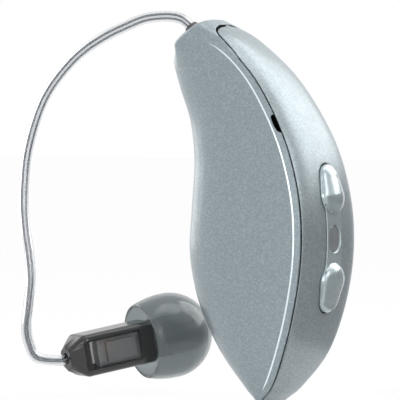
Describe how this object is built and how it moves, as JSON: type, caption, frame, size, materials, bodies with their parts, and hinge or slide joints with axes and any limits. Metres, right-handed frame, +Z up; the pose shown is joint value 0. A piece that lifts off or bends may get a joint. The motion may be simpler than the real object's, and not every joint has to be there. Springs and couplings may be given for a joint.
{
  "type": "behind the ear hearing aid",
  "caption": "Rechargeable hearing aid worn behind the ear: curved case with a rocker control, a preformed thin lead and a receiver with a soft dome for the ear canal.",
  "frame": {"origin": "deepest point of the hollow front edge, in the middle of the body's width, where the body sits on the root of the ear", "axes": "+Z up along the body, +X out through the spine, away from the ear, -Y the outer side, which the picture shows"},
  "size_m": [0.0334, 0.0172, 0.0355],
  "materials": {
    "case_paint": "metallic lacquer on plastic, fine speckle",
    "cover_paint": "metallic lacquer on plastic, fine speckle",
    "rocker_paint": "glossy metallic lacquer",
    "smoked_lens": "smoked, translucent",
    "seal_rubber": "soft, matt",
    "frame_plastic": "moulded",
    "cell_metal": "satin can",
    "nickel": "thin nickel strip",
    "board_green": "solder mask",
    "chip_black": "moulded",
    "ceramic_tan": "fired ceramic",
    "copper": "copper",
    "flex_film": "polyimide film",
    "switch_steel": "stamped",
    "led_resin": "clear resin",
    "pin_steel": "ground",
    "gold": "gold plated",
    "mic_can": "satin",
    "screen_mesh": "woven, black",
    "socket_plastic": "moulded",
    "plug_plastic": "moulded",
    "lead_clear": "clear tube",
    "lead_wire": "twisted pair",
    "receiver_smoke": "smoked, translucent",
    "motor_steel": "deep drawn can",
    "cradle_rubber": "soft",
    "spout_plastic": "smoked",
    "collar_black": "moulded",
    "guard_white": "moulded",
    "dome_silicone": "smoked, translucent silicone"
  },
  "bodies": {
    "aid_body": {"case_tub": "case_paint", "spine_cover": "cover_paint", "seam_gasket": "seal_rubber", "front_mic_boot": "seal_rubber", "rear_mic_boot": "seal_rubber", "inner_frame": "frame_plastic", "battery_cell": "cell_metal", "battery_tabs": "nickel", "main_board": "board_green", "signal_processor": "chip_black", "radio_chip": "chip_black", "charge_chip": "chip_black", "capacitors": "ceramic_tan", "telecoil": "copper", "antenna_strip": "copper", "control_flex": "flex_film", "charge_flex": "flex_film", "upper_switch": "switch_steel", "lower_switch": "switch_steel", "status_led": "led_resin", "rocker_pin": "pin_steel", "charge_pads": "gold", "socket_contacts": "gold", "front_microphone": "mic_can", "rear_microphone": "mic_can", "mic_screens": "screen_mesh", "receiver_socket": "socket_plastic"},
    "rocker": {"rocker": "rocker_paint", "light_window": "smoked_lens"},
    "receiver_unit": {"lead_plug": "plug_plastic", "lead_tube": "lead_clear", "lead_wires": "lead_wire", "receiver_housing": "receiver_smoke", "receiver_motor": "motor_steel", "motor_cradle": "cradle_rubber", "sound_spout": "spout_plastic", "receiver_collar": "collar_black", "wax_guard": "guard_white"},
    "dome": {"ear_dome": "dome_silicone"}
  },
  "joints": [
    {"name": "rocker_tilt", "type": "hinge", "parent": "aid_body", "child": "rocker", "pos_m": [0.01304, 0, -0.00677], "axis": [0, 1, 0], "range_deg": [-2.5, 2.5], "stiffness_Nm_per_rad": 0.15},
    {"name": "plug_pull", "type": "slide", "parent": "aid_body", "child": "receiver_unit", "axis": [-0.5724, 0, 0.82], "range_m": [0, 0.0042]},
    {"name": "dome_pull", "type": "slide", "parent": "receiver_unit", "child": "dome", "axis": [0.4845, 0.8563, 0.1788], "range_m": [0, 0.005]}
  ]
}
